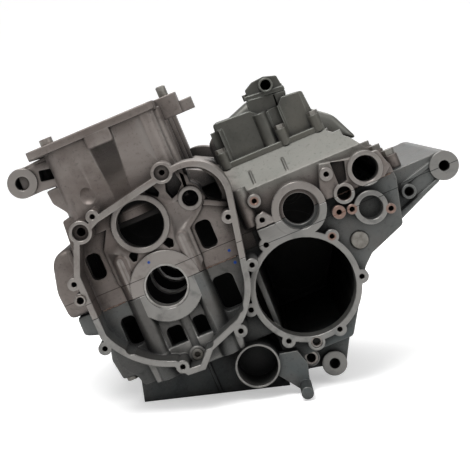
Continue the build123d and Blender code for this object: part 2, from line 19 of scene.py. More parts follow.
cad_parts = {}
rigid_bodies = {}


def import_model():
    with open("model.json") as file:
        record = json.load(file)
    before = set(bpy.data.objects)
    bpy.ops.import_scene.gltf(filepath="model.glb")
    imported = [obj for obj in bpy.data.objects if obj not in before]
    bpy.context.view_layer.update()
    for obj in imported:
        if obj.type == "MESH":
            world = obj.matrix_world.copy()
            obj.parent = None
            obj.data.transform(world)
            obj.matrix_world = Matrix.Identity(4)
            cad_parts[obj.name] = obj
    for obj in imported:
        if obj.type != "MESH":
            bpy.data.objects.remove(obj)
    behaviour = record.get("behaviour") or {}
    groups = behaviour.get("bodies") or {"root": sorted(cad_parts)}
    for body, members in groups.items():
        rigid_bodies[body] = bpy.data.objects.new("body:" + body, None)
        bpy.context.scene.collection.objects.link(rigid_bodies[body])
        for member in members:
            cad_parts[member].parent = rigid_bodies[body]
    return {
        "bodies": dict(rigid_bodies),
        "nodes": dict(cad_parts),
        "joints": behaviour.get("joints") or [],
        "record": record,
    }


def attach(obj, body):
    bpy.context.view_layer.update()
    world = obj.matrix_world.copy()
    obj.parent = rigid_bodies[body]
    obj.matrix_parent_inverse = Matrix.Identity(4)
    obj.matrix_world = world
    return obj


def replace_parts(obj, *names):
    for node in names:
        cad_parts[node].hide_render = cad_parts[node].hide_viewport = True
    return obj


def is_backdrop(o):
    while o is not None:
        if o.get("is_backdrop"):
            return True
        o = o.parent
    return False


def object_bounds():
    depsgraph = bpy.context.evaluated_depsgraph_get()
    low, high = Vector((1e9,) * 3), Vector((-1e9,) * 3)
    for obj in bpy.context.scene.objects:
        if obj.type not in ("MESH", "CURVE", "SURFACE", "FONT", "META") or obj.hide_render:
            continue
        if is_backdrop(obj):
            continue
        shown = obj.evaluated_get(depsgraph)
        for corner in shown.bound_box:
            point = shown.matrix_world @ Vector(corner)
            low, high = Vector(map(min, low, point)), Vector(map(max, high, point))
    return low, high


LOG = logging.getLogger("crankcase")
MM = 0.001
CASE_LEAN = math.radians(16.0)
GEARBOX_STEP = 16.0
DECK_HEIGHT = 173.0
WELD = 2e-6
BULGE_ROOM = ((-118, -42), (-84, -42), (-84, 72), (-118, 72))
BULGE_END = 131.5
# Where cutters start outside the near side, how far they clear a face, how far forms bite in.
OPEN_AIR = -180.0
BORE_MOUTH = -168.0
CLEAR = 2.0
BITE = 1.0

Colour = Tuple[float, float, float]
Number = Union[float, int]
Pair = Tuple[float, float]
Spot = Tuple[float, float, float]


class Field:
    """A shader socket that Python operators can work on, so that maths reads as maths."""

    def __init__(self, graph: "Graph", socket: bpy.types.NodeSocket) -> None:
        """Keeps the socket and the graph that owns it."""
        self.graph = graph
        self.socket = socket

    def _math(self, operation: str, *values: Union["Field", Number]) -> "Field":
        """Adds one Math node.

        Args:
            operation: The node's operation.
            values: Its inputs in order.

        Returns:
            The node's result.
        """
        return self.graph.node("ShaderNodeMath", {"operation": operation}, list(values))

    def __add__(self, other: Union["Field", Number]) -> "Field":
        """Sum."""
        return self._math("ADD", self, other)

    def __radd__(self, other: Number) -> "Field":
        """Sum with a number on the left."""
        return self._math("ADD", other, self)

    def __sub__(self, other: Union["Field", Number]) -> "Field":
        """Difference."""
        return self._math("SUBTRACT", self, other)

    def __rsub__(self, other: Number) -> "Field":
        """Difference from a number."""
        return self._math("SUBTRACT", other, self)

    def __mul__(self, other: Union["Field", Number]) -> "Field":
        """Product."""
        return self._math("MULTIPLY", self, other)

    def __rmul__(self, other: Number) -> "Field":
        """Product with a number on the left."""
        return self._math("MULTIPLY", other, self)

    def __abs__(self) -> "Field":
        """Size without its sign."""
        return self._math("ABSOLUTE", self)

    def at_least(self, other: Union["Field", Number]) -> "Field":
        """The larger of the two."""
        return self._math("MAXIMUM", self, other)

    def at_most(self, other: Union["Field", Number]) -> "Field":
        """The smaller of the two."""
        return self._math("MINIMUM", self, other)

    def root(self) -> "Field":
        """Square root."""
        return self._math("SQRT", self)

    def ramp(self, low: float, high: float) -> "Field":
        """Smooth step.

        Args:
            low: Value that gives 0.
            high: Value that gives 1, above or below low.

        Returns:
            A value from 0 to 1.
        """
        if low < high:
            settings = {"interpolation_type": "SMOOTHSTEP"}
            return self.graph.node("ShaderNodeMapRange", settings, {0: self, 1: low, 2: high})
        return 1.0 - self.ramp(high, low)


class Graph:
    """A material's node tree, with one method that makes any node."""

    def __init__(self, name: str) -> None:
        """Makes an empty material with its output."""
        self.material = bpy.data.materials.new(name)
        self.material.use_nodes = True
        self.nodes = self.material.node_tree.nodes
        self.links = self.material.node_tree.links
        self.nodes.clear()
        self.output = self.nodes.new("ShaderNodeOutputMaterial")
        self._case: Optional[Tuple[Field, Field, Field]] = None

    def node(
        self,
        kind: str,
        settings: Optional[Dict[str, Any]] = None,
        inputs: Union[Sequence[Any], Dict[Any, Any], None] = None,
        result: Union[int, str] = 0,
    ) -> Field:
        """Makes any node.

        Args:
            kind: The node's type.
            settings: Properties set before its sockets.
            inputs: Values or links of its sockets, by order, number or name.
            result: Which output is wanted.

        Returns:
            The wanted output.
        """
        made = self.nodes.new(kind)
        for key, value in (settings or {}).items():
            setattr(made, key, value)
        pairs = inputs.items() if isinstance(inputs, dict) else enumerate(inputs or [])
        for key, value in pairs:
            if isinstance(value, Field):
                self.links.new(value.socket, made.inputs[key])
            elif value is not None:
                made.inputs[key].default_value = value
        return Field(self, made.outputs[result])

    def coordinates(self) -> Field:
        """Object coordinates, in metres."""
        return self.node("ShaderNodeTexCoord", result="Object")

    def case_axes(self) -> Tuple[Field, Field, Field]:
        """Case coordinates in millimetres.

        Returns:
            u to the rear along the parting face, y along the crank, and w square to the face.
        """
        if self._case is None:
            place = self.coordinates()
            x, y, z = (self.node("ShaderNodeSeparateXYZ", inputs=[place], result=n) for n in range(3))
            cosine, sine = math.cos(CASE_LEAN) / MM, math.sin(CASE_LEAN) / MM
            self._case = (x * cosine + z * sine, y * (1 / MM), z * cosine - x * sine)
        return self._case

    def noise(self, scale: float, detail: float = 3.0, rough: float = 0.55, warp: float = 0.0) -> Field:
        """Noise over the object.

        Args:
            scale: Cells per metre.
            detail: Octaves.
            rough: Share that each octave keeps.
            warp: Distortion.

        Returns:
            A value around one half.
        """
        sockets = {"Vector": self.coordinates(), "Scale": scale, "Detail": detail,
                   "Roughness": rough, "Distortion": warp}
        return self.node("ShaderNodeTexNoise", {"normalize": True}, sockets, "Fac")

    def blend(self, share: Union[Field, float], first: Any, second: Any) -> Field:
        """Mixes two colours.

        Args:
            share: How much of the second.
            first: A colour or a field.
            second: A colour or a field.

        Returns:
            The mixed colour.
        """
        colours = [c if isinstance(c, Field) else (*c, 1.0) for c in (first, second)]
        settings = {"data_type": "RGBA", "blend_type": "MIX", "clamp_factor": True}
        return self.node("ShaderNodeMix", settings, {0: share, 6: colours[0], 7: colours[1]}, 2)

    def near_plane(self, value: Field, place: float, reach: float = 0.35) -> Field:
        """1 within reach of a place along a coordinate, and 0 past it."""
        return abs(value - place).ramp(reach * 1.6, reach)

    def round_about(self, spot: Pair) -> Field:
        """Distance in millimetres from an axis along the crank through a spot (u, w)."""
        u, _, w = self.case_axes()
        du, dw = u - spot[0], w - spot[1]
        return (du * du + dw * dw).root()

    def facing(self, way: Spot) -> Field:
        """How far the surface faces a way, from -1 to 1."""
        normal = self.node("ShaderNodeNewGeometry", result="True Normal")
        settings = {"operation": "DOT_PRODUCT"}
        return self.node("ShaderNodeVectorMath", settings, [normal, way], "Value")

    def finish(self, shader: Field) -> bpy.types.Material:
        """Links the shader to the output.

        Args:
            shader: The surface shader.

        Returns:
            The finished material.
        """
        self.links.new(shader.socket, self.output.inputs["Surface"])
        return self.material


@dataclass(frozen=True)
class Slab:
    """A form square to the crank: side outline (u, w), span along the crank and rounding."""

    outline: Tuple[Pair, ...]
    near: float
    far: float
    soft: float = 0.0


class Shaper:
    """Closed cast forms, drawn in case coordinates and millimetres and gathered in one mesh."""

    def __init__(self, name: str) -> None:
        """Starts an empty mesh."""
        self.name = name
        self.mesh = bmesh.new()

    def _prism(self, low: Sequence[Spot], high: Sequence[Spot], soft: float) -> None:
        """Adds a closed prism.

        Args:
            low: Corners (u, y, w) of one end.
            high: The same corners at the other end.
            soft: Rounding of its edges.
        """
        ends = [[self.mesh.verts.new(place(*corner)) for corner in end] for end in (low, high)]
        count = len(low)
        faces = [self.mesh.faces.new(ends[0][::-1]), self.mesh.faces.new(ends[1])]
        for n in range(count):
            after = (n + 1) % count
            faces.append(self.mesh.faces.new((ends[0][n], ends[0][after], ends[1][after], ends[1][n])))
        bmesh.ops.recalc_face_normals(self.mesh, faces=faces)
        if soft:
            edges = list({edge for face in faces for edge in face.edges})
            bmesh.ops.bevel(self.mesh, geom=edges, offset=soft * MM, segments=3, profile=0.5,
                            affect="EDGES", clamp_overlap=True)

    def slab(self, outline: Sequence[Pair], near: float, far: float, soft: float = 0.0) -> None:
        """Adds a slab square to the crank, from its side outline (u, w) and its span."""
        self._prism([(u, near, w) for u, w in outline], [(u, far, w) for u, w in outline], soft)

    def add(self, *forms: Slab) -> None:
        """Adds slabs from their records."""
        for form in forms:
            self.slab(form.outline, form.near, form.far, form.soft)

    def column(self, outline: Sequence[Pair], low: float, high: float, soft: float = 0.0) -> None:
        """Adds a column along the cylinder axis, from its plan (u, y) and its heights."""
        self._prism([(u, y, low) for u, y in outline], [(u, y, high) for u, y in outline], soft)

    def beam(self, outline: Sequence[Pair], front: float, rear: float, soft: float = 0.0) -> None:
        """Adds a beam along the parting face, from its section (y, w) and its span in u."""
        self._prism([(front, y, w) for y, w in outline], [(rear, y, w) for y, w in outline], soft)

    def drum(self, spot: Pair, radius: float, near: float, far: float, soft: float = 0.0) -> None:
        """Adds a round body along the crank at a spot (u, w)."""
        self.slab(circle(spot, radius), near, far, soft)

    def post(self, spot: Pair, radius: float, low: float, high: float, soft: float = 0.0) -> None:
        """Adds a round body along the cylinder axis at a spot (u, y)."""
        self.column(circle(spot, radius), low, high, soft)

    def ball(self, at: Spot, radius: float) -> None:
        """Adds a sphere."""
        turn = Matrix.Translation(place(*at))
        bmesh.ops.create_icosphere(self.mesh, subdivisions=3, radius=radius * MM, matrix=turn)

    def tube(self, spot: Pair, radii: Pair, low: float, high: float, along_crank: bool = False) -> None:
        """Adds a tube.

        Args:
            spot: Its middle, (u, y) for an upright tube and (u, w) for one along the crank.
            radii: Inner and outer radius.
            low: Where it starts.
            high: Where it ends.
            along_crank: Whether it lies along the crank.
        """
        rings = []
        for radius, level in ((radii[0], low), (radii[1], low), (radii[1], high), (radii[0], high)):
            corners = [(a, level, b) if along_crank else (a, b, level) for a, b in circle(spot, radius)]
            rings.append([self.mesh.verts.new(place(*corner)) for corner in corners])
        faces = []
        for n, ring in enumerate(rings):
            other = rings[(n + 1) % 4]
            for m in range(len(ring)):
                after = (m + 1) % len(ring)
                faces.append(self.mesh.faces.new((ring[m], ring[after], other[after], other[m])))
        bmesh.ops.recalc_face_normals(self.mesh, faces=faces)

    def finish(self) -> bpy.types.Object:
        """Turns the gathered forms into an object in the scene.

        Returns:
            The object.
        """
        data = bpy.data.meshes.new(self.name)
        self.mesh.to_mesh(data)
        self.mesh.free()
        made = bpy.data.objects.new(self.name, data)
        bpy.context.scene.collection.objects.link(made)
        return made


def place(u: float, y: float, w: float) -> Vector:
    """Point in metres from case coordinates in millimetres."""
    cosine, sine = math.cos(CASE_LEAN), math.sin(CASE_LEAN)
    return Vector((u * cosine - w * sine, y, u * sine + w * cosine)) * MM


def circle(spot: Pair, radius: float, sides: int = 40) -> List[Pair]:
    """Corners of a many-sided circle about a spot."""
    turns = [2 * math.pi * n / sides for n in range(sides)]
    return [(spot[0] + radius * math.cos(t), spot[1] + radius * math.sin(t)) for t in turns]


def arc(middle: Pair, radius: float, start: float, end: float, steps: int = 8) -> List[Pair]:
    """Points of an arc, its angles in degrees."""
    turns = [math.radians(start + (end - start) * n / steps) for n in range(steps + 1)]
    return [(middle[0] + radius * math.cos(t), middle[1] + radius * math.sin(t)) for t in turns]


def shade_by_angle(piece: bpy.types.Object, degrees: float = 32.0) -> None:
    """Shades a piece smooth except along its sharp edges."""
    piece.data.polygons.foreach_set("use_smooth", [True] * len(piece.data.polygons))
    piece.data.set_sharp_from_angle(angle=math.radians(degrees))


def recast(
    node: bpy.types.Object, name: str, added: Shaper, cut: Shaper, late: Shaper
) -> bpy.types.Object:
    """Makes the dressed casting that stands for a packed one.

    Args:
        node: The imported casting.
        name: The new piece's name.
        added: Forms joined to it.
        cut: Forms cut out of it.
        late: Forms joined after the cut.

    Returns:
        The finished piece.
    """
    whole = bmesh.new()
    whole.from_mesh(node.data)
    bmesh.ops.transform(whole, matrix=node.matrix_world, verts=whole.verts)
    bmesh.ops.remove_doubles(whole, verts=whole.verts, dist=WELD)
    data = bpy.data.meshes.new(name)
    whole.to_mesh(data)
    whole.free()
    if "custom_normal" in data.attributes:
        data.attributes.remove(data.attributes["custom_normal"])
    piece = bpy.data.objects.new(name, data)
    bpy.context.scene.collection.objects.link(piece)
    helpers = [added.finish(), cut.finish()]
    for helper, operation in zip(helpers, ("UNION", "DIFFERENCE")):
        boolean = piece.modifiers.new(operation.lower(), "BOOLEAN")
        boolean.object = helper
        boolean.operation = operation
        boolean.solver = "EXACT"
        boolean.use_self = True
    graph = bpy.context.evaluated_depsgraph_get()
    solid = bpy.data.meshes.new_from_object(piece.evaluated_get(graph))
    piece.modifiers.clear()
    piece.data = solid
    ribs = late.finish()
    joined = bmesh.new()
    joined.from_mesh(solid)
    joined.from_mesh(ribs.data)
    joined.to_mesh(solid)
    joined.free()
    for helper in helpers + [ribs]:
        bpy.data.objects.remove(helper)
    piece.data.materials.clear()
    shade_by_angle(piece)
    return piece


@dataclass
class UpperCase:
    """Cast detail of the upper half: webs, ribs, pockets, block skin, lug frames and roof hump."""

    recess_web: Slab = Slab((
        (-44, 56), (-24, 90), (32, 103), (52, 104), (66, 88), (70, 66), (56, 52), (44, 44), (44, 10),
        (36, 0), (-36, 0), (-44, 20)), -163.1, -156.0, 1.0)
    pockets: Tuple[Tuple[Pair, ...], ...] = (
        ((40, 98), (51, 100), (54, 88), (46, 80), (39, 77), (36, 86)),
        ((16, 97), (26, 98), (30, 88), (27, 84), (17, 92)),
        ((13, 40), (20, 44), (24, 40), (22, 33), (17, 33.5)),
        ((-13, 40.5), (-20, 44.5), (-23, 41), (-21, 34), (-17, 34)))
    pocket_span: Pair = (OPEN_AIR, -150.0)
    pocket_soft: float = 1.0
    crescent: Slab = Slab((
        (62, 99), (75, 94), (85, 80), (86, 62), (82, 56), (70, 66), (67, 80), (61, 86)),
        OPEN_AIR, -128.0, 1.5)
    boss_ribs: Tuple[Slab, ...] = (
        Slab(((53, 80), (58, 80), (60, 104), (55, 105)), -163.1, -156.0, 0.8),
        Slab(((64, 60), (67, 65), (88, 54), (86, 49)), -163.1, -156.0, 0.8))
    rib_u: float = 33.0
    rib_y: float = -155.5
    rib_radius: float = 10.0
    rib_foot: float = 0.1
    rib_top: float = 40.0
    plate: Slab = Slab((
        (178, 16.5), (175, 27), (184, 53), (205, 48), (243, 43), (249, 24), (240, 16.5)),
        -156.0, -147.0, 1.2)
    plate_pocket: Slab = Slab(((195, 50), (209, 46), (204, 27), (195, 26)), -165.0, -146.0, 1.0)
    case_pad: Slab = Slab((
        (103, 16.5), (106.5, 28), (115.6, 31.5), (125, 20), (127, 16.5)), -159.7, -147.0, 1.0)
    corner_post: Pair = (101.0, -149.0)
    post_radius: float = 8.0
    post_span: Pair = (20.0, 60.0)
    post_soft: float = 1.5
    shoulder_cut: Tuple[Pair, ...] = ((-149, 54.1), (-149, 82), (-118, 82))
    shoulder_backing: Tuple[Pair, ...] = ((-142, 51), (-142, 74), (-116.3, 74))
    shoulder_rib: Tuple[Pair, ...] = ((-145, 55), (-145, 59.3), (-131, 71.8), (-131, 66))
    shoulder_ribs: Tuple[float, ...] = (119.0, 154.0)
    shoulder_front: float = 91.0
    backing_rear: float = 219.0
    cut_rear: float = 241.0
    rib_half: float = 1.0
    rib_soft: float = 0.5
    hump: Slab = Slab((
        (86, 75), (86, 108), (101, 120), (146, 136), (167, 133), (228, 85), (244, 50), (204, 66),
        (196, 75)), -6.0, 109.5, 7.0)
    bore_spots: Tuple[Pair, ...] = ((-6.0, -118.5), (-6.0, -39.5))
    skin_front: Spot = (-36.5, -133.5, 30.0)
    skin_rear: Spot = (43.5, -151.2, 12.2)
    skin_face: float = -163.4
    face_rise: float = 203.4
    face_radius: float = 204.0
    face_turn: Pair = (263.3, 276.7)
    near_stud: Pair = (41.0, -158.0)
    crank_room: Tuple[Pair, ...] = ((-58.0, -141.4), (50.0, -141.4), (50.0, -110.0), (-58.0, -110.0))
    crank_ceiling: float = 82.8
    stud_hole: float = 4.65
    stud_depth: float = 40.0
    rear_fill: Pair = (53.0, -139.0)
    fill_radius: float = 8.0
    jacket: Pair = (39.8, 43.3)
    jacket_floor: float = 111.0
    liner_seat: float = 37.25
    bore: float = 34.35
    bore_under: float = 6.0
    liner_foot: float = 82.0
    block_foot: float = 74.0
    deck_under: float = 165.0
    deck_strip: Tuple[Pair, ...] = ((-75.5, -155.0), (-75.5, -164.0), (-71, -168.7), (53, -168.7),
                                    (57.8, -164), (57.8, -155.0))
    strip_soft: float = 0.6
    column: Pair = (45.0, -155.0)
    column_radius: float = 9.4
    block_ribs: Tuple[Pair, ...] = ((55.0, -128.0), (55.0, -79.0), (55.0, 0.0), (55.0, 79.0))
    block_rib_radius: float = 5.0
    block_pad: Slab = Slab(((-17, 152), (10, 152), (10, 167), (-17, 167)), -168.7, -155.0, 2.5)
    front_skirt: Slab = Slab((
        (-50, 131), (-75, 131), (-74, 117), (-66, 106), (-60, 95), (-50, 92)), -148.0, 148.0, 2.0)
    hollow: Spot = (-36.5, -173.5, 112.0)
    hollow_radius: float = 13.5
    near_bores: Tuple[Tuple[Pair, float, float], ...] = (
        ((0.0, 0.0), 22.65, -140.4), ((0.5, 66.7), 23.55, -140.4), ((55.7, 71.2), 8.1, -156.0),
        ((55.7, 71.2), 6.4, -140.4), ((149.8, 19.2), 20.1, -151.1), ((149.8, 19.2), 15.8, -140.4),
        ((224.7, 31.4), 13.1, -126.1), ((196.6, 16.6), 7.1, -140.4), ((187.3, 40.8), 2.7, -144.1),
        ((112.1, 23.3), 2.7, -144.1))
    bulge: Tuple[Pair, ...] = ((-70, 0.3), (-109.5, 0.3), (-111.5, 30), (-103, 62), (-92, 70), (-70, 68))
    bulge_soft: float = 6.0
    lug: Pair = (-93.2, 147.6)
    lug_radii: Pair = (7.0, 15.0)
    barrel_span: Pair = (117.0, 64.0)
    lug_frame: Tuple[Pair, ...] = (
        (-96, 157.5), (-78, 161), (-54, 160), (-54, 131), (-78, 133), (-96, 136))
    frame_span: Pair = (146.5, 112.0)
    frame_soft: float = 2.0
    lug_window: Tuple[Pair, ...] = ((-74, 153), (-56, 149.5), (-57, 139), (-76, 142))
    window_span: Pair = (150.0, 130.0)
    window_soft: float = 1.2

    def build(self, node: bpy.types.Object) -> bpy.types.Object:
        """Builds the dressed upper half.

        Args:
            node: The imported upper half.

        Returns:
            The piece that stands for it.
        """
        added, cut, late = Shaper("upper_added"), Shaper("upper_cut"), Shaper("upper_late")
        self._recess(added, cut)
        self._gearbox(added, cut, late)
        self._block(added, cut)
        for spot, radius, floor in self.near_bores:
            cut.drum(spot, radius, BORE_MOUTH, floor)
        cut.slab(BULGE_ROOM, -BULGE_END - CLEAR, BULGE_END + CLEAR)
        late.slab(self.bulge, -BULGE_END, BULGE_END, self.bulge_soft)
        for out in (-1, 1):
            self._lug(added, cut, out)
        return recast(node, "upper_casting", added, cut, late)

    def _recess(self, added: Shaper, cut: Shaper) -> None:
        """Raised web, ribs and pockets of the wall behind the near cover."""
        added.add(self.recess_web, *self.boss_ribs)
        for out in (-1, 1):
            spot = (out * self.rib_u, self.rib_y)
            added.post(spot, self.rib_radius, self.rib_foot, self.rib_top)
            added.ball((spot[0], spot[1], self.rib_top), self.rib_radius)
        for pocket in self.pockets:
            cut.slab(pocket, *self.pocket_span, self.pocket_soft)
        cut.add(self.crescent)

    def _gearbox(self, added: Shaper, cut: Shaper, late: Shaper) -> None:
        """Plate, pad and post of the near gearbox wall, its sloping shoulder, and the roof hump."""
        added.add(self.plate, self.case_pad)
        cut.add(self.plate_pocket)
        added.post(self.corner_post, self.post_radius, *self.post_span, self.post_soft)
        added.beam(self.shoulder_backing, self.shoulder_front, self.backing_rear)
        cut.beam(self.shoulder_cut, self.shoulder_front, self.cut_rear)
        for u in self.shoulder_ribs:
            late.beam(self.shoulder_rib, u - self.rib_half, u + self.rib_half, self.rib_soft)
        added.add(self.hump)

    def _block(self, added: Shaper, cut: Shaper) -> None:
        """Skin round the first cylinder, deck edge, columns, pad, hollow and front skirt."""
        above, rib_end = DECK_HEIGHT + CLEAR, self.deck_under + BITE
        added.column(self._skin_plan(), self.block_foot, self.deck_under)
        cut.column(self.crank_room, self.block_foot - BITE, self.crank_ceiling)
        cut.post(self.near_stud, self.stud_hole, DECK_HEIGHT - self.stud_depth, above)
        for spot in self.bore_spots:
            cut.post(spot, self.liner_seat, self.liner_foot, above)
            cut.post(spot, self.bore, self.block_foot - self.bore_under, self.liner_foot + BITE)
            cut.tube(spot, self.jacket, self.jacket_floor, above)
        added.column(self.deck_strip, self.deck_under, DECK_HEIGHT, self.strip_soft)
        added.post(self.column, self.column_radius, self.block_foot, rib_end)
        added.post(self.rear_fill, self.fill_radius, self.block_foot, rib_end)
        for spot in self.block_ribs:
            added.post(spot, self.block_rib_radius, self.block_foot, rib_end)
        added.add(self.block_pad, self.front_skirt)
        cut.ball(self.hollow, self.hollow_radius)

    def _skin_plan(self) -> List[Pair]:
        """Plan (u, y) of the metal round the first bore, with rounded corners and a bulged face."""
        front, rear = self.skin_front, self.skin_rear
        plan = arc(front[:2], front[2], 180, 270)
        middle = (self.bore_spots[0][0], self.skin_face + self.face_rise)
        plan += arc(middle, self.face_radius, *self.face_turn)
        plan += arc(rear[:2], rear[2], 270, 360)
        back = self.bore_spots[0][1]
        return plan + [(rear[0] + rear[2], back), (front[0] - front[2], back)]

    def _lug(self, added: Shaper, cut: Shaper, out: int) -> None:
        """Frame and longer barrel of one front lug.

        Args:
            added: Forms joined to the casting.
            cut: Forms cut out of it.
            out: -1 for the near side, 1 for the far side.
        """
        frame, window, barrel = (
            sorted(out * end for end in span)
            for span in (self.frame_span, self.window_span, self.barrel_span))
        added.slab(self.lug_frame, *frame, self.frame_soft)
        cut.slab(self.lug_window, *window, self.window_soft)
        added.tube(self.lug, self.lug_radii, *barrel, along_crank=True)


@dataclass
class LowerCase:
    """Cast detail of the lower half: wall ribs, skirt, sump rib, bracket foot and blind bores."""

    rib_u: float = 33.0
    rib_y: float = -155.5
    rib_radius: float = 10.0
    rib_span: Pair = (-74.0, -0.1)
    middle_rib: Pair = (3.0, -155.0)
    middle_radius: float = 6.5
    middle_span: Pair = (-74.0, -34.0)
    middle_soft: float = 1.5
    cover_y: float = -158.0
    cover_radius: float = 9.8
    cover_span: Pair = (-88.0, -62.0)
    cover_soft: float = 2.0
    walls: Tuple[Slab, ...] = (
        Slab(((-50, -60), (-48, -89), (48, -89), (52, -60)), -160.0, -147.0, 1.5),
        Slab(((-62, -70), (-66, -76), (-80.5, -74), (-83.5, -52), (-78, -32), (-70, -32)),
             -147.5, 147.5, 2.0),
        Slab(((103, 15.5), (103, 8), (104, -4), (118, -9), (134, -9), (131, 6), (127, 15.5)),
             -159.7, -147.0, 1.0))
    pipe: Pair = (52.1, -109.8)
    pipe_radius: float = 21.0
    pipe_floor: Pair = (-124.0, -112.0)
    sump_rib: Slab = Slab(((1.5, -88), (4.5, -88), (4.5, -132), (1.5, -132)), -122.0, -119.0, 0.5)
    bracket_foot: Slab = Slab(((236, -28), (238, -35.5), (292, -13), (297, -7)), -129.0, -108.0, 1.5)
    bracket_rib: Slab = Slab(((250, -7), (255, 0), (296, 11), (296, 6)), -128.0, -122.0, 1.0)
    arm_boss: Pair = (259.0, -9.7)
    arm_radius: float = 5.0
    arm_span: Pair = (-121.5, -117.5)
    hole_radius: float = 2.7
    hole_span: Pair = (-162.0, -143.9)
    small_holes: Tuple[Pair, ...] = ((197.9, -1.0), (233.6, -15.0), (106.2, -1.1), (185.0, 1.2))
    near_bores: Tuple[Tuple[Pair, float, float], ...] = (
        ((149.8, 19.2), 20.1, -151.1), ((149.8, 19.2), 15.8, -140.4), ((126.6, -55.4), 50.2, -140.4))
    bulge: Tuple[Pair, ...] = ((-70, -30), (-89.5, -26), (-103.5, -21), (-103, -0.3), (-70, -0.3))
    bulge_inset: float = 3.0
    bulge_soft: float = 4.0

    def build(self, node: bpy.types.Object) -> bpy.types.Object:
        """Builds the dressed lower half.

        Args:
            node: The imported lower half.

        Returns:
            The piece that stands for it.
        """
        added, cut, late = Shaper("lower_added"), Shaper("lower_cut"), Shaper("lower_late")
        for out in (-1, 1):
            u = out * self.rib_u
            added.post((u, self.rib_y), self.rib_radius, *self.rib_span)
            added.post((u, self.cover_y), self.cover_radius, *self.cover_span, self.cover_soft)
        added.post(self.middle_rib, self.middle_radius, *self.middle_span, self.middle_soft)
        added.add(*self.walls)
        added.drum(self.pipe, self.pipe_radius, *self.pipe_floor)
        added.add(self.sump_rib, self.bracket_foot, self.bracket_rib)
        added.drum(self.arm_boss, self.arm_radius, *self.arm_span)
        for spot in self.small_holes:
            cut.drum(spot, self.hole_radius, *self.hole_span)
        for spot, radius, floor in self.near_bores:
            cut.drum(spot, radius, BORE_MOUTH, floor)
        cut.slab(BULGE_ROOM, -BULGE_END - CLEAR, BULGE_END + CLEAR)
        half = BULGE_END - self.bulge_inset
        late.slab(self.bulge, -half, half, self.bulge_soft)
        return recast(node, "lower_casting", added, cut, late)


@dataclass
class BreatherDetail:
    """Shelf that carries the breather outlet, and the two screws that hold it."""

    shelf: Slab = Slab(((168, 116), (169, 133.6), (184, 132.2), (183, 127)), -108.0, -36.0, 1.5)
    neck: Slab = Slab(((143.5, 131), (143.5, 137.2), (183.5, 132.4), (183.5, 128)), -106.0, -66.0, 1.0)
    screws: Tuple[Spot, ...] = ((144.2, -84.0, 140.6), (180.8, -84.0, 137.0))
    head_radius: float = 3.4
    head_height: float = 2.6
    head_soft: float = 0.6
    shank: float = 4.0

    def build(self) -> Tuple[bpy.types.Object, bpy.types.Object]:
        """Builds the shelf and the screws.

        Returns:
            The shelf and the pair of screws.
        """
        shelf = Shaper("breather_shelf")
        shelf.add(self.shelf, self.neck)
        screws = Shaper("breather_outlet_screws")
        for u, y, seat in self.screws:
            top = seat + self.head_height
            screws.post((u, y), self.head_radius, seat - self.shank, top, self.head_soft)
        made = (shelf.finish(), screws.finish())
        for piece in made:
            shade_by_angle(piece)
        return made


class Alloy(Enum):
    """Which casting a finish is for."""

    UPPER = "upper"
    LOWER = "lower"
    COVER = "cover"


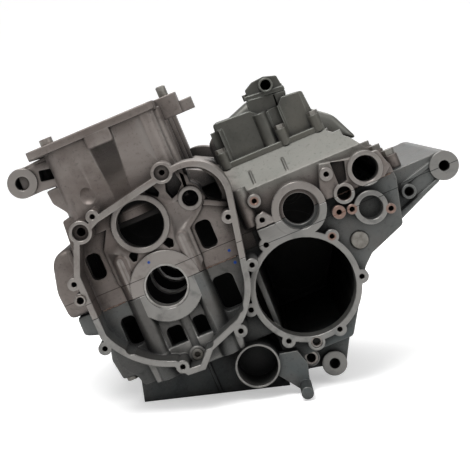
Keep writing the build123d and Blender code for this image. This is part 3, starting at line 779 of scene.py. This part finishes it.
@dataclass(frozen=True)
class Machining:
    """Where a casting was machined after casting, and where shade is painted in its rooms, in case
    coordinates and millimetres.
    """

    side_faces: Tuple[float, ...] = (-190.0, -166.0, -160.0, -165.0, -150.0, -130.0, 110.0, 150.0, 190.0)
    bores: Tuple[Tuple[float, float, float], ...] = (
        (0.0, 0.0, 22.5), (0.5, 66.7, 23.4), (55.7, 71.2, 8.0), (55.7, 71.2, 6.3),
        (126.6, -55.4, 50.0), (149.8, 19.2, 15.7), (149.8, 19.2, 20.0), (224.7, 31.4, 13.0),
        (215.8, -6.5, 12.0), (52.1, -109.8, 20.5),
    )
    threads: Tuple[Pair, ...] = (
        (-35.9, 92.5), (-78.5, 38.9), (-76.3, -30.4), (-13.6, -76.2), (52.2, -65.2), (87.1, -9.7),
        (83.9, 42.0), (41.6, 105.4), (106.2, -1.1), (169.6, -18.2), (181.9, -66.8), (141.7, -107.9),
        (90.1, -99.4), (67.3, -55.6), (112.1, 43.7), (112.1, 23.3), (187.3, 40.8), (185.0, 1.2))
    thread_radius: float = 2.6
    rooms: Tuple[Tuple[Spot, Spot], ...] = (
        ((-66.0, -141.6, -78.0), (62.0, 141.6, 83.0)), ((90.0, -141.6, -112.0), (198.0, 103.6, 54.0)),
        ((90.0, -120.0, 54.0), (198.0, 103.6, 73.4)), ((-50.0, -138.0, 83.0), (44.0, 138.0, 150.0)),
        ((198.0, -141.6, -40.0), (240.0, 103.6, 50.0)))
    bolt_holes: Tuple[Tuple[Pair, float], ...] = (
        ((-93.2, 147.6), 7.0), ((301.9, 0.1), 5.3), ((123.7, -146.3), 5.3), ((259.0, -9.7), 4.7))
    hole_mouth: float = 152.0
    copper: Tuple[Tuple[Pair, float], ...] = (
        ((185.0, 1.2), 6.6), ((197.9, -1.0), 5.0), ((233.6, -15.0), 5.0), ((112.1, 43.7), 4.4),
        ((169.6, -18.2), 4.2), ((196.6, 16.6), 7.0))
    paint_dots: Tuple[Pair, ...] = ((70.4, 7.9), (71.2, -5.4), (-6.7, 28.5))
    dot_radius: float = 1.5

    def mask(self, graph: Graph) -> Field:
        """Share of machined metal.

        Args:
            graph: The material's graph.

        Returns:
            1 on machined faces and bores, 0 on cast skin.
        """
        u, y, w = graph.case_axes()
        rough_block = w.ramp(98.0, 102.0) * u.ramp(-72.0, -68.0)
        across = abs(graph.facing((0.0, 1.0, 0.0))).ramp(0.93, 0.985)
        upward = graph.facing(tuple(place(0, 0, 1 / MM))).ramp(0.9, 0.98)
        total = graph.near_plane(w, DECK_HEIGHT) * upward
        faces: Union[Field, float] = 0.0
        for face in self.side_faces:
            faces = graph.near_plane(y, face).at_least(faces)
        total = total.at_least(faces * across * (1.0 - rough_block))
        for u_at, w_at, radius in self.bores:
            total = total.at_least(graph.near_plane(graph.round_about((u_at, w_at)), radius, 0.45))
        return total

    def room_shade_mask(self, graph: Graph) -> Field:
        """1 on the walls of the crank room, the gearbox room and the bolt holes of the lugs, where shade
        is painted.
        """
        u, y, w = graph.case_axes()
        total: Union[Field, float] = 0.0
        for low, high in self.rooms:
            inside: Union[Field, float] = 1.0
            for value, start, end in zip((u, y, w), low, high):
                inside = value.ramp(start - 0.4, start + 0.4) * value.ramp(end + 0.4, end - 0.4) * inside
            total = inside.at_least(total)
        for spot, radius in self.bolt_holes:
            hole = graph.round_about(spot).ramp(radius + 0.5, radius + 0.2)
            total = (hole * abs(y).ramp(self.hole_mouth, self.hole_mouth - 10.0)).at_least(total)
        return total

    def near_threads(self, graph: Graph) -> Field:
        """1 inside the threaded holes of the near side, and 0 elsewhere."""
        total: Union[Field, float] = 0.0
        for spot in self.threads:
            hole = graph.round_about(spot).ramp(self.thread_radius + 0.4, self.thread_radius + 0.1)
            total = hole.at_least(total)
        _, y, _ = graph.case_axes()
        return total * y.ramp(-120.0, -125.0)

    def on_spots(self, graph: Graph, spots: Sequence[Tuple[Pair, float]], ragged: Field) -> Field:
        """Share of a stain about some spots of the near side.

        Args:
            graph: The material's graph.
            spots: Places (u, w) and radii.
            ragged: What breaks the edge up, around one half.

        Returns:
            1 inside, 0 outside.
        """
        total: Union[Field, float] = 0.0
        for spot, radius in spots:
            distance = graph.round_about(spot) + (ragged - 0.5) * (radius * 0.6)
            total = distance.ramp(radius + 0.5, radius - 0.5).at_least(total)
        _, y, _ = graph.case_axes()
        return total * y.ramp(-128.0, -140.0)


@dataclass(frozen=True)
class CastFinish:
    """Sand cast aluminium that has been run: satin skin, bright worn edges, dirt, a tint that partly
    paints sheen and shade, and painted shade in corners, hollows and inner rooms.
    """

    name: str
    alloy: Alloy
    skin: Colour
    light_skin: Colour
    tint_and_painted_light: Colour
    # Dark colour for dirt specks, the sealed joint and painted shade in corners.
    grime_and_shade: Colour
    machined: Colour
    grain: float = 0.3
    metallic: float = 0.78
    thread_oil: Colour = (0.05, 0.038, 0.03)
    # Near-black colour of painted shade inside the rooms and bolt holes.
    room_shade: Colour = (0.011, 0.010, 0.0095)
    # Near-black colour of painted shade in deep hollows.
    deep_shade: Colour = (0.006, 0.006, 0.0065)
    copper: Colour = (0.20, 0.085, 0.05)
    marking: Colour = (0.012, 0.05, 0.24)
    machining: Machining = field(default_factory=Machining)

    def build(self) -> bpy.types.Material:
        """Builds the material.

        Returns:
            The finished material.
        """
        g = Graph(self.name)
        cloud = g.noise(11.0, 5.0, 0.62, 0.5)
        stain = g.noise(34.0, 5.0, 0.65, 0.9)
        speck = g.noise(320.0, 3.0, 0.6)
        coarse = g.noise(1050.0, 2.0, 0.6)
        colour = g.blend(cloud.ramp(0.34, 0.66), self.skin, self.light_skin)
        colour = g.blend(self._tone_sheen_and_shade_share(g, cloud, stain), colour, self.tint_and_painted_light)
        colour = g.blend(speck.ramp(0.55, 0.74) * 0.3, colour, self.grime_and_shade)
        open_ = g.node("ShaderNodeAmbientOcclusion", {"samples": 8}, {"Distance": 0.022}, "AO")
        deep = g.node("ShaderNodeAmbientOcclusion", {"samples": 8}, {"Distance": 0.16}, "AO")
        corner = open_.ramp(0.82, 0.3)
        inside = deep.ramp(0.42, 0.14)
        round_normal = g.node("ShaderNodeBevel", {"samples": 6}, {"Radius": 2.2 * MM})
        flat_normal = g.node("ShaderNodeNewGeometry", result="True Normal")
        aligned = g.node("ShaderNodeVectorMath", {"operation": "DOT_PRODUCT"},
                         [round_normal, flat_normal], "Value")
        edge = aligned.ramp(0.985, 0.88) * open_.ramp(0.5, 0.95)
        # Painted shade: short-range occlusion darkens corners and hollows, mixed with real dirt stains.
        corner_shade_and_dirt_share = (corner * 0.8 + stain.ramp(0.55, 0.75) * 0.35).at_most(0.9)
        colour = g.blend(corner_shade_and_dirt_share, colour, self.grime_and_shade)
        colour = g.blend(edge * (0.3 + speck * 0.4), colour, self.machined)
        rough = 0.33 + cloud * 0.2 + stain * 0.12 - edge * 0.08 + corner * 0.2
        height = speck * 0.6 + coarse * 0.4
        if self.alloy is not Alloy.COVER:
            colour, rough, height = self._machine(g, colour, rough, height, stain, corner)
        # Painted shade: near-black in deep hollows found by long-range occlusion.
        colour = g.blend(inside * 0.93, colour, self.deep_shade)
        rough = rough + inside * 0.2
        bump = g.node("ShaderNodeBump", inputs={
            "Strength": self.grain, "Distance": 0.7 * MM, "Height": height, "Normal": round_normal})
        shader = g.node("ShaderNodeBsdfPrincipled", inputs={
            "Base Color": colour, "Roughness": rough.at_least(0.22).at_most(0.95),
            "Metallic": self.metallic - inside * 0.5 * self.metallic, "Normal": bump})
        return g.finish(shader)

    def _tone_sheen_and_shade_share(self, g: Graph, cloud: Field, stain: Field) -> Field:
        """Where the skin takes its tint: a painted greenish sheen on the upper half's gearbox top, and
        elsewhere random patches, with painted bluish shade towards the bottom of the lower half.

        Args:
            g: The material's graph.
            cloud: Slow noise.
            stain: Faster noise.

        Returns:
            The share of the tint.
        """
        u, _, w = g.case_axes()
        if self.alloy is Alloy.UPPER:
            # Painted sheen: the gearbox top is lighter and greener.
            return u.ramp(84.0, 112.0) * w.ramp(34.0, 62.0) * (0.45 + stain * 0.5)
        # Random patches, plus painted shade growing towards the bottom.
        return (cloud.ramp(0.42, 0.62) * 0.5 + w.ramp(-30.0, -110.0) * 0.35) * (0.6 + stain * 0.5)

    def _machine(
        self, g: Graph, colour: Field, rough: Field, height: Field, stain: Field, corner: Field
    ) -> Tuple[Field, Field, Field]:
        """Adds machined faces, the sealed joint, threads, painted shade in the rooms, copper coloured
        seats and paint dots.

        Args:
            g: The material's graph.
            colour: The cast skin's colour.
            rough: Its roughness.
            height: Its bump height.
            stain: Noise that breaks edges up.
            corner: Share of corners and hollows.

        Returns:
            The changed colour, roughness and height.
        """
        _, y, w = g.case_axes()
        cut = self.machining.mask(g)
        # Machined brightness is held back in occluded corners, a painted shade.
        worn = cut * (0.85 - stain.ramp(0.48, 0.68) * 0.45) * (1.0 - corner * 0.4)
        colour = g.blend(worn, colour, self.machined)
        rough = rough - cut * 0.12
        height = height * (1.0 - cut * 0.8)
        seam = g.near_plane(w, 0.0, 0.3).at_least(g.near_plane(w, GEARBOX_STEP, 0.3))
        colour = g.blend(seam * 0.8, colour, self.grime_and_shade)
        threads = self.machining.near_threads(g)
        turns = g.node("ShaderNodeMath", {"operation": "SINE"}, [y * (2 * math.pi)])
        height = height + threads * turns * 0.6
        colour = g.blend(threads * 0.55, colour, self.thread_oil)
        # Painted shade: near-black inside the crank and gearbox rooms and the lug bolt holes.
        rooms = self.machining.room_shade_mask(g)
        colour = g.blend(rooms * (0.8 + stain * 0.15).at_most(0.97), colour, self.room_shade)
        copper = self.machining.on_spots(g, self.machining.copper, stain)
        colour = g.blend(copper * 0.55, colour, self.copper)
        dots = [(spot, self.machining.dot_radius) for spot in self.machining.paint_dots]
        colour = g.blend(self.machining.on_spots(g, dots, stain), colour, self.marking)
        return colour, rough, height


@dataclass(frozen=True)
class SteelFinish:
    """Turned or plated steel, with stains, painted shade in its corners and soft edges."""

    name: str
    metal: Colour
    stain: Colour
    roughness: float = 0.36
    stain_share: float = 0.5
    metallic: float = 0.85

    def build(self) -> bpy.types.Material:
        """Builds the material.

        Returns:
            The finished material.
        """
        g = Graph(self.name)
        cloud = g.noise(120.0, 4.0, 0.6, 0.3)
        scratch = g.noise(1400.0, 2.0, 0.5)
        colour = g.blend(cloud.ramp(0.4, 0.68) * self.stain_share, self.metal, self.stain)
        open_ = g.node("ShaderNodeAmbientOcclusion", {"samples": 6}, {"Distance": 0.008}, "AO")
        # Painted shade: the stain colour darkens occluded corners.
        colour = g.blend(open_.ramp(0.7, 0.25) * 0.7, colour, self.stain)
        round_normal = g.node("ShaderNodeBevel", {"samples": 6}, {"Radius": 0.5 * MM})
        bump = g.node("ShaderNodeBump", inputs={
            "Strength": 0.12, "Distance": 0.3 * MM, "Height": scratch, "Normal": round_normal})
        shader = g.node("ShaderNodeBsdfPrincipled", inputs={
            "Base Color": colour, "Roughness": self.roughness + cloud * 0.2,
            "Metallic": self.metallic, "Normal": bump})
        return g.finish(shader)


@dataclass
class JointBead:
    """Hardened sealant that was squeezed out along the joint of the two halves, by Geometry Nodes."""

    runs: Tuple[Tuple[Spot, Spot], ...] = (
        ((-69.0, -158.0, 0.0), (-45.0, -158.0, 0.0)), ((37.0, -158.2, 0.0), (74.0, -158.2, 0.0)),
        ((186.0, -148.0, 16.0), (248.0, -148.0, 16.0)), ((-62.0, 158.0, 0.0), (-40.0, 158.0, 0.0)),
        ((110.0, 110.0, 16.0), (128.0, 110.0, 16.0)), ((172.0, 110.0, 16.0), (246.0, 110.0, 16.0)))
    thickness: float = 0.8
    step: float = 1.1
    wander: float = 0.35
    thinnest: float = 0.45
    seed: int = 7

    def build(self, material: bpy.types.Material) -> bpy.types.Object:
        """Builds the bead as a plain mesh.

        Args:
            material: The sealant's finish.

        Returns:
            The bead.
        """
        lines = bpy.data.meshes.new("joint_runs")
        ends = [place(*end) for run in self.runs for end in run]
        lines.from_pydata(ends, [(2 * n, 2 * n + 1) for n in range(len(self.runs))], [])
        holder = bpy.data.objects.new("joint_bead", lines)
        bpy.context.scene.collection.objects.link(holder)
        modifier = holder.modifiers.new("bead", "NODES")
        modifier.node_group = self._tree(material)
        sizes = {"Thickness": self.thickness * MM, "Step": self.step * MM, "Wander": self.wander * MM}
        for item in modifier.node_group.interface.items_tree:
            if item.name in sizes:
                modifier[item.identifier] = sizes[item.name]
        graph = bpy.context.evaluated_depsgraph_get()
        mesh = bpy.data.meshes.new_from_object(holder.evaluated_get(graph))
        holder.modifiers.clear()
        holder.data = mesh
        return holder

    def _tree(self, material: bpy.types.Material) -> bpy.types.NodeTree:
        """Node tree that lays an uneven bead along each edge.

        Args:
            material: The sealant's finish.

        Returns:
            The tree.
        """
        tree = bpy.data.node_groups.new("sealant_bead", "GeometryNodeTree")
        tree.interface.new_socket("Geometry", in_out="INPUT", socket_type="NodeSocketGeometry")
        for name in ("Thickness", "Step", "Wander"):
            tree.interface.new_socket(name, in_out="INPUT", socket_type="NodeSocketFloat")
        tree.interface.new_socket("Geometry", in_out="OUTPUT", socket_type="NodeSocketGeometry")

        def add(kind: str, inputs: Dict[Any, Any], result: Union[int, str] = 0, **settings: Any) -> Any:
            """Adds a node, with its settings, values and links, and gives one output."""
            made = tree.nodes.new(kind)
            for key, value in settings.items():
                setattr(made, key, value)
            for key, value in inputs.items():
                if isinstance(value, bpy.types.NodeSocket):
                    tree.links.new(value, made.inputs[key])
                else:
                    made.inputs[key].default_value = value
            return made.outputs[result]

        given = tree.nodes.new("NodeGroupInput").outputs
        path = add("GeometryNodeMeshToCurve", {"Mesh": given["Geometry"]})
        path = add("GeometryNodeResampleCurve", {"Curve": path, "Length": given["Step"]}, mode="LENGTH")
        ends = {"Min": (-1.0,) * 3, "Max": (1.0,) * 3, "Seed": self.seed}
        chance = add("FunctionNodeRandomValue", ends, data_type="FLOAT_VECTOR")
        shift = add("ShaderNodeVectorMath", {0: chance, "Scale": given["Wander"]}, operation="SCALE")
        path = add("GeometryNodeSetPosition", {"Geometry": path, "Offset": shift})
        ends = {2: self.thinnest, 3: 1.0, "Seed": self.seed + 1}
        share = add("FunctionNodeRandomValue", ends, 1, data_type="FLOAT")
        radius = add("ShaderNodeMath", {0: share, 1: given["Thickness"]}, operation="MULTIPLY")
        ring = add("GeometryNodeCurvePrimitiveCircle", {"Resolution": 8, "Radius": 1.0})
        bead = add("GeometryNodeCurveToMesh", {"Curve": path, "Profile Curve": ring, "Scale": radius,
                                               "Fill Caps": True})
        bead = add("GeometryNodeRealizeInstances", {"Geometry": bead})
        bead = add("GeometryNodeSetMaterial", {"Geometry": bead, "Material": material})
        leave = tree.nodes.new("NodeGroupOutput")
        tree.links.new(bead, leave.inputs["Geometry"])
        return tree


@dataclass(frozen=True)
class SealantFinish:
    """Dull reddish brown sealant, hard and dusty."""

    name: str = "joint_sealant"
    body: Colour = (0.10, 0.052, 0.035)
    dust: Colour = (0.17, 0.13, 0.105)

    def build(self) -> bpy.types.Material:
        """Builds the material.

        Returns:
            The finished material.
        """
        g = Graph(self.name)
        cloud = g.noise(420.0, 4.0, 0.6, 0.4)
        colour = g.blend(cloud.ramp(0.4, 0.7), self.body, self.dust)
        bump = g.node("ShaderNodeBump", inputs={"Strength": 0.3, "Distance": 0.2 * MM, "Height": cloud})
        shader = g.node("ShaderNodeBsdfPrincipled", inputs={
            "Base Color": colour, "Roughness": 0.5 + cloud * 0.3, "Normal": bump})
        return g.finish(shader)


@dataclass
class Castings:
    """The two case halves and the breather castings, each with its own skin."""

    finishes: Dict[str, CastFinish] = field(default_factory=lambda: {
        # Tints: the upper one is a painted greenish sheen, the lower one partly painted bluish shade,
        # the cover's random tone.
        "upper_crankcase": CastFinish(
            "upper_case_skin", Alloy.UPPER, (0.125, 0.104, 0.094), (0.205, 0.182, 0.168),
            (0.142, 0.150, 0.136), (0.020, 0.015, 0.013), (0.235, 0.218, 0.203)),
        "lower_crankcase": CastFinish(
            "lower_case_skin", Alloy.LOWER, (0.092, 0.088, 0.083), (0.142, 0.139, 0.132),
            (0.062, 0.076, 0.079), (0.017, 0.018, 0.018), (0.225, 0.218, 0.206)),
        "breather_cover": CastFinish(
            "breather_skin", Alloy.COVER, (0.053, 0.052, 0.045), (0.088, 0.088, 0.077),
            (0.085, 0.075, 0.06), (0.016, 0.016, 0.015), (0.26, 0.27, 0.245), 0.16, 0.5),
    })

    def dress(self, nodes: Dict[str, bpy.types.Object]) -> None:
        """Gives each casting its finish.

        Args:
            nodes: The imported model's objects by name.
        """
        made = {name: finish.build() for name, finish in self.finishes.items()}
        made["breather_outlet"] = made["breather_cover"]
        for name, material in made.items():
            paint(nodes[name], material)
            LOG.info("dressed %s", name)


@dataclass
class Hardware:
    """Liners, bearing shells, bolts, dowels and plugs."""

    iron: SteelFinish = SteelFinish("liner_iron", (0.26, 0.245, 0.225), (0.07, 0.06, 0.05), 0.32)
    shell: SteelFinish = SteelFinish("shell_metal", (0.33, 0.32, 0.30), (0.10, 0.09, 0.08), 0.3)
    bolt: SteelFinish = SteelFinish("bolt_steel", (0.24, 0.23, 0.21), (0.06, 0.05, 0.04), 0.4)
    dowel: SteelFinish = SteelFinish("dowel_steel", (0.30, 0.28, 0.26), (0.09, 0.06, 0.045), 0.34)
    plug: SteelFinish = SteelFinish("plug_steel", (0.22, 0.21, 0.19), (0.07, 0.06, 0.05), 0.45)

    def finish_of(self, node: str) -> SteelFinish:
        """Chooses a node's finish.

        Args:
            node: The node's name.

        Returns:
            Its finish.
        """
        choices = (("liner", self.iron), ("shells", self.shell), ("bolts", self.bolt),
                   ("stud", self.bolt), ("dowel", self.dowel), ("bush", self.dowel))
        for word, finish in choices:
            if word in node:
                return finish
        return self.plug

    def dress(self, nodes: Dict[str, bpy.types.Object], skip: Sequence[str]) -> None:
        """Gives every piece that isn't a casting its finish.

        Args:
            nodes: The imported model's objects by name.
            skip: Names that are dressed already.
        """
        made: Dict[str, bpy.types.Material] = {}
        for name, piece in nodes.items():
            if name in skip:
                continue
            finish = self.finish_of(name)
            if finish.name not in made:
                made[finish.name] = finish.build()
            paint(piece, made[finish.name])
            LOG.info("dressed %s with %s", name, finish.name)


def paint(piece: bpy.types.Object, material: bpy.types.Material) -> None:
    """Gives a piece one material in all its slots.

    Args:
        piece: The object.
        material: Its new material.
    """
    if not piece.material_slots:
        piece.data.materials.append(material)
    for slot in piece.material_slots:
        slot.material = material


@dataclass
class Studio:
    """Pale floor and backdrop, soft lamps, and the camera at the photograph's angle."""

    floor_level: float
    camera_at: Vector = field(default_factory=lambda: Vector((0.0882, -1.180, 0.1692)))
    camera_right: Vector = field(default_factory=lambda: Vector((0.9932, 0.0, -0.1176)))
    camera_aim: Vector = field(default_factory=lambda: Vector((-0.0147, 0.99219, -0.1239)))
    focal_share: float = 1042 / 470
    sensor: float = 36.0
    half_width: float = 6.0
    back: float = 3.2
    curve: float = 1.2
    steps: int = 16
    front: float = -5.0
    wall_height: float = 5.0
    lamps_aim: Spot = (0.08, 0.0, 0.0)
    sky_heights: Pair = (-0.2, 0.9)
    sky_strengths: Pair = (0.16, 0.85)

    def build(self) -> None:
        """Builds the floor, the lamps, the world and the camera."""
        self._floor()
        self._lamps()
        self._world()
        self._camera()

    def _floor(self) -> None:
        """Makes the floor, which curves up behind the object."""
        profile: List[Pair] = [(self.front, 0.0), (self.back, 0.0)]
        for n in range(1, self.steps + 1):
            turn = math.pi / 2 * n / self.steps
            profile.append((self.back + self.curve * math.sin(turn), self.curve * (1 - math.cos(turn))))
        profile.append((self.back + self.curve, self.wall_height))
        sides = (-self.half_width, self.half_width)
        points = [(x, y, self.floor_level + z) for y, z in profile for x in sides]
        faces = [(2 * n, 2 * n + 1, 2 * n + 3, 2 * n + 2) for n in range(len(profile) - 1)]
        mesh = bpy.data.meshes.new("studio_floor")
        mesh.from_pydata(points, [], faces)
        mesh.polygons.foreach_set("use_smooth", [True] * len(mesh.polygons))
        floor = bpy.data.objects.new("studio_floor", mesh)
        bpy.context.scene.collection.objects.link(floor)
        floor.data.materials.append(self._paper())
        floor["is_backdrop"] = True

    @staticmethod
    def _paper() -> bpy.types.Material:
        """White paper that the camera sees a little brighter than it lights."""
        g = Graph("studio_paper")
        seen = g.node("ShaderNodeLightPath", result="Is Camera Ray")
        matt = g.node("ShaderNodeBsdfDiffuse", inputs={"Color": (0.84, 0.84, 0.84, 1.0)})
        glow = g.node("ShaderNodeEmission", inputs={"Color": (1.0, 1.0, 1.0, 1.0), "Strength": 0.42})
        both = g.node("ShaderNodeAddShader", inputs=[matt, glow])
        return g.finish(g.node("ShaderNodeMixShader", inputs=[seen, matt, both]))

    def _lamps(self) -> None:
        """Places the soft lamps: a large one above, and weaker ones at the sides."""
        lamps = (
            ("key", (-0.35, -1.0, 1.9), 1.0, 36.0),
            ("fill", (1.9, -1.4, 0.9), 1.2, 11.0),
            ("rim", (0.6, 1.5, 1.8), 1.2, 30.0),
        )
        for name, place, size, power in lamps:
            lamp = bpy.data.lights.new(name, "AREA")
            lamp.energy = power
            lamp.size = size
            holder = bpy.data.objects.new(name, lamp)
            holder.location = place
            way = Vector(self.lamps_aim) - Vector(place)
            holder.rotation_euler = way.to_track_quat("-Z", "Y").to_euler()
            bpy.context.scene.collection.objects.link(holder)

    def _world(self) -> None:
        """Pale light from all round, stronger from above."""
        world = bpy.data.worlds.new("studio")
        world.use_nodes = True
        nodes, links = world.node_tree.nodes, world.node_tree.links
        way = nodes.new("ShaderNodeTexCoord")
        parts = nodes.new("ShaderNodeSeparateXYZ")
        height = nodes.new("ShaderNodeMapRange")
        ends = zip(("From Min", "From Max", "To Min", "To Max"), self.sky_heights + self.sky_strengths)
        for name, value in ends:
            height.inputs[name].default_value = value
        links.new(way.outputs["Generated"], parts.inputs[0])
        links.new(parts.outputs[2], height.inputs["Value"])
        links.new(height.outputs[0], nodes["Background"].inputs["Strength"])
        nodes["Background"].inputs["Color"].default_value = (1.0, 1.0, 1.0, 1.0)
        bpy.context.scene.world = world

    def _camera(self) -> None:
        """Sets the camera where the photograph was taken from."""
        lens = bpy.data.cameras.new("camera")
        lens.sensor_width = self.sensor
        lens.lens = self.focal_share * self.sensor
        lens.clip_start = 0.01
        holder = bpy.data.objects.new("camera", lens)
        right = self.camera_right.normalized()
        back = -self.camera_aim.normalized()
        up = back.cross(right).normalized()
        turn = Matrix((right, up, back)).transposed().to_4x4()
        holder.matrix_world = Matrix.Translation(self.camera_at) @ turn
        bpy.context.scene.collection.objects.link(holder)
        bpy.context.scene.camera = holder


def box_lists(box: Any) -> List[List[float]]:
    """A pair of corners as plain lists of numbers."""
    return [[float(v) for v in corner] for corner in box]


def main() -> None:
    """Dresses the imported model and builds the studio."""
    logging.basicConfig(level=logging.INFO, format="%(name)s: %(message)s")
    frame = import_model()
    cad_box = box_lists(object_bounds())
    bpy.context.scene.view_settings.view_transform = "Standard"
    body = next(iter(frame["bodies"]))
    castings = Castings()
    castings.dress(frame["nodes"])
    Hardware().dress(frame["nodes"], list(castings.finishes) + ["breather_outlet"])
    for name, case in (("upper_crankcase", UpperCase()), ("lower_crankcase", LowerCase())):
        piece = case.build(frame["nodes"][name])
        paint(piece, frame["nodes"][name].material_slots[0].material)
        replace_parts(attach(piece, body), name)
        LOG.info("%s replaces %s, %d faces", piece.name, name, len(piece.data.polygons))
    shelf, screws = BreatherDetail().build()
    paint(shelf, frame["nodes"]["breather_cover"].material_slots[0].material)
    paint(screws, frame["nodes"]["breather_cover_bolts"].material_slots[0].material)
    bead = JointBead().build(SealantFinish().build())
    for piece in (shelf, screws, bead):
        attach(piece, body)
        LOG.info("%s added", piece.name)
    Studio(floor_level=cad_box[0][2]).build()


if __name__ == "__main__":
    main()
